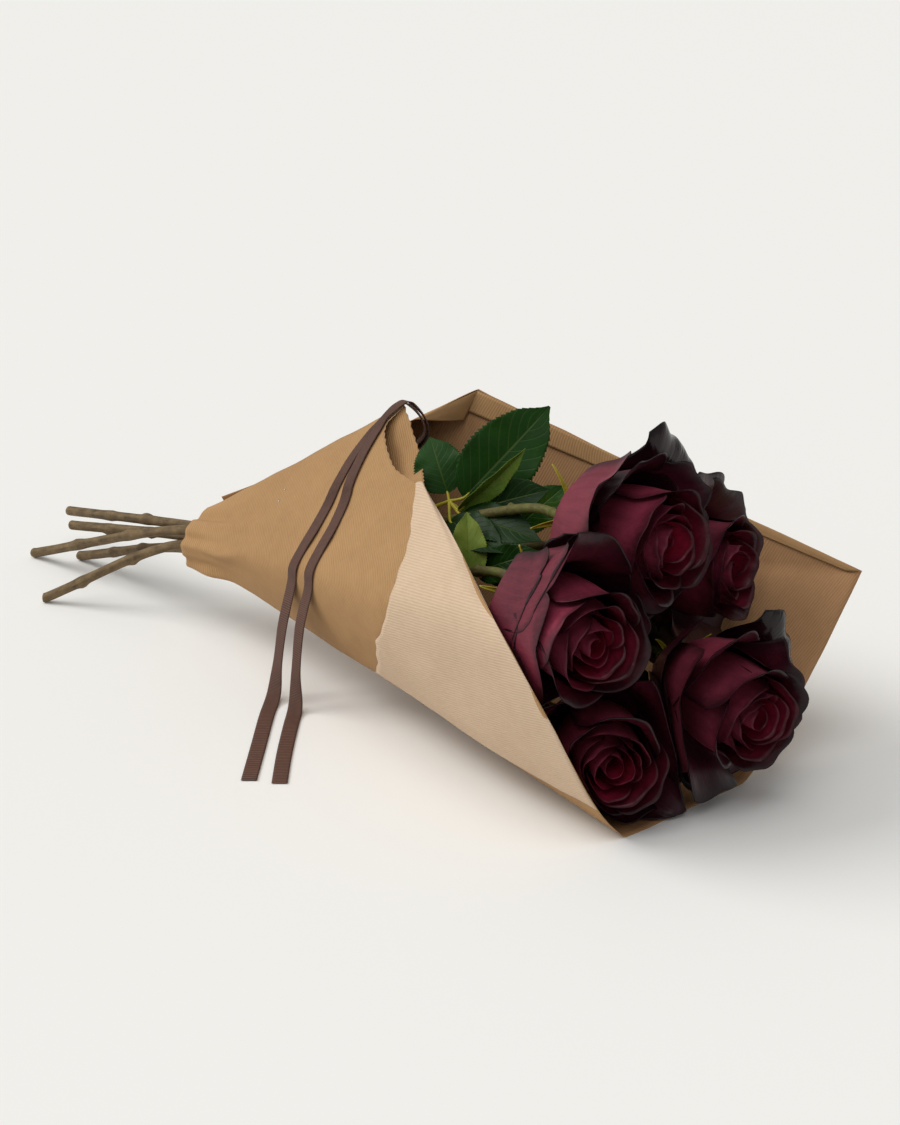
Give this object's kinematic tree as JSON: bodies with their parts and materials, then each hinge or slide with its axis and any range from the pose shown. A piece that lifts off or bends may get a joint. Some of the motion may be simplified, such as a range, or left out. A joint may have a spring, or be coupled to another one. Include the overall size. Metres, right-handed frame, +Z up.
{
  "type": "bunch of roses",
  "caption": "Bunch of dark red roses with leaves, laid down in a cone of ribbed kraft paper with a brown ribbon trailing over it.",
  "frame": {"origin": "on the surface that the bunch lies on, under the small flat spot of the paper that the blooms weigh on", "axes": "+X from the cut stems to the blooms, +Z up, +Y to the far side of the bunch"},
  "size_m": [0.6614, 0.3238, 0.2406],
  "materials": {
    "kraft_paper": "matt ribbed kraft paper",
    "petals": "soft satin",
    "sepals": "satin",
    "stems": "matt bark",
    "leaves": "satin",
    "ribbon": "matt grosgrain",
    "staple_wire": "bright wire"
  },
  "bodies": {
    "root": {"paper_wrap": "kraft_paper", "rose_1_bloom": "petals", "rose_1_calyx": "sepals", "rose_1_stem": "stems", "rose_2_bloom": "petals", "rose_2_calyx": "sepals", "rose_2_stem": "stems", "rose_3_bloom": "petals", "rose_3_calyx": "sepals", "rose_3_stem": "stems", "rose_4_bloom": "petals", "rose_4_calyx": "sepals", "rose_4_stem": "stems", "rose_5_bloom": "petals", "rose_5_calyx": "sepals", "rose_5_stem": "stems", "leaf_spray_1": "leaves", "leaf_spray_2": "leaves", "leaf_spray_3": "leaves", "ribbon_tie": "ribbon", "ribbon_tail_1": "ribbon", "ribbon_tail_2": "ribbon", "staple": "staple_wire"}
  },
  "joints": []
}
